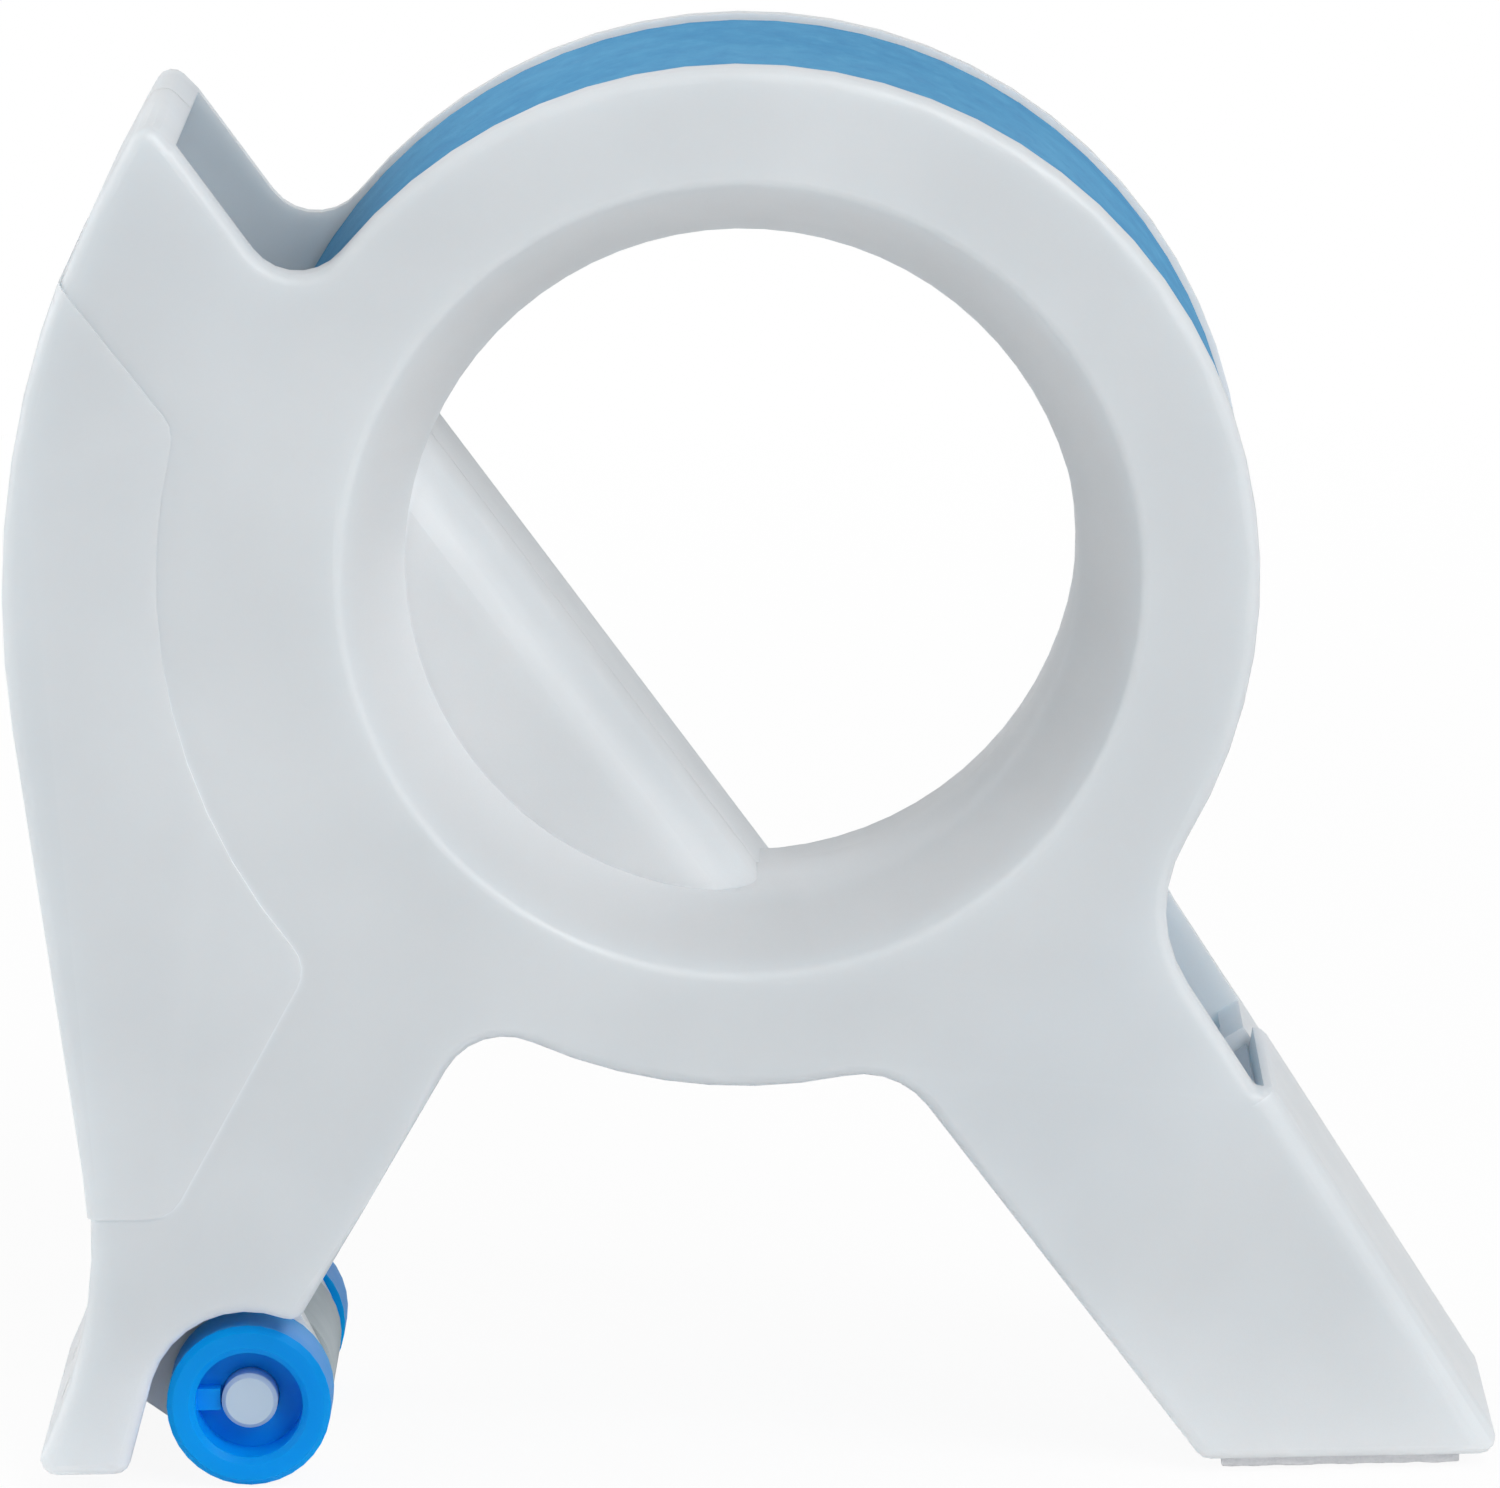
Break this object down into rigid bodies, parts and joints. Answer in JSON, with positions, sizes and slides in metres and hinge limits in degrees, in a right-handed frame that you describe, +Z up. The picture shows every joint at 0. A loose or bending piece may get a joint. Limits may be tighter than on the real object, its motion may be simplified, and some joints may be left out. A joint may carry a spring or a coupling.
{
  "type": "masking tape applicator",
  "caption": "Hand-held applicator that rolls masking tape onto a surface from a roll in its ring body, with a rear grip, a laying roller, a cut-off blade and a felt-soled guide leg.",
  "frame": {"origin": "on the surface that the roller and felt pads rest on, under the middle of the whole part", "axes": "+X forward from the grip to the felt-soled leg, +Y across the tape away from the near side, +Z up"},
  "size_m": [0.1402, 0.0436, 0.1365],
  "materials": {
    "moulded_grey": "satin",
    "blue_plastic": "gloss",
    "white_plastic": "satin",
    "grey_rubber": "matte",
    "blue_tape": "matte",
    "core_card": "matte",
    "felt": "matte",
    "acetal": "satin",
    "steel": "satin"
  },
  "bodies": {
    "chassis": {"front_shell": "moulded_grey", "roller_bracket": "moulded_grey", "front_axle_bush": "acetal", "rear_axle_bush": "acetal", "upper_bracket_screw": "steel", "lower_bracket_screw": "steel", "cutter_blade": "steel", "blade_clamp": "moulded_grey", "front_blade_rivet": "steel", "rear_blade_rivet": "steel", "front_felt_pad": "felt", "drag_spring": "steel", "drag_pad": "felt"},
    "cover": {"rear_shell": "moulded_grey", "rear_felt_pad": "felt"},
    "roll": {"tape_roll": "blue_tape", "tape_core": "core_card"},
    "laying_roller": {"roller_axle": "white_plastic", "front_collar": "blue_plastic", "rear_collar": "blue_plastic", "roller_core": "acetal", "roller_sleeve": "grey_rubber"}
  },
  "joints": [
    {"name": "roll_spin", "type": "hinge", "parent": "chassis", "child": "roll", "pos_m": [-0.0003, 0, 0.0876], "axis": [0, 1, 0], "continuous": true},
    {"name": "roller_spin", "type": "hinge", "parent": "chassis", "child": "laying_roller", "pos_m": [-0.04937, 0, 0.0079], "axis": [0, 1, 0], "continuous": true},
    {"name": "cover_slide", "type": "slide", "parent": "chassis", "child": "cover", "axis": [0, 1, 0], "range_m": [0, 0.06]}
  ]
}
